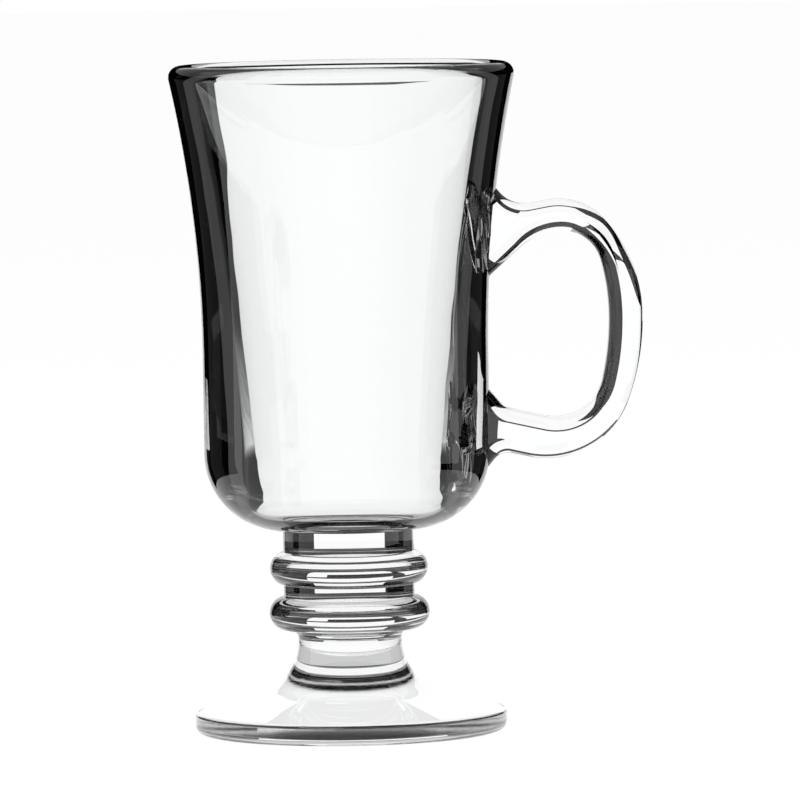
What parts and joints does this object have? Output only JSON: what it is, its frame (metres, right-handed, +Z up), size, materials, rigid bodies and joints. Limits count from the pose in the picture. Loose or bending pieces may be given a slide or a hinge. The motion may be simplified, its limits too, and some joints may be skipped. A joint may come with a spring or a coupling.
{
  "type": "irish coffee mug",
  "caption": "Clear pressed-glass mug for hot coffee: thick flared bowl with a D-shaped side handle, on a solid ringed stem and a wide foot.",
  "frame": {"origin": "on the axis of the bowl, stem and foot, in the plane that the foot stands on", "axes": "+Z up along that axis, +X towards the handle, +Y completes the right-handed frame"},
  "size_m": [0.104, 0.0764, 0.148],
  "materials": {
    "clear_glass": "fire-polished clear soda-lime glass, gloss"
  },
  "bodies": {
    "root": {"bowl": "clear_glass", "handle": "clear_glass", "stem": "clear_glass", "upper_ring": "clear_glass", "lower_ring": "clear_glass", "foot": "clear_glass"}
  },
  "joints": []
}
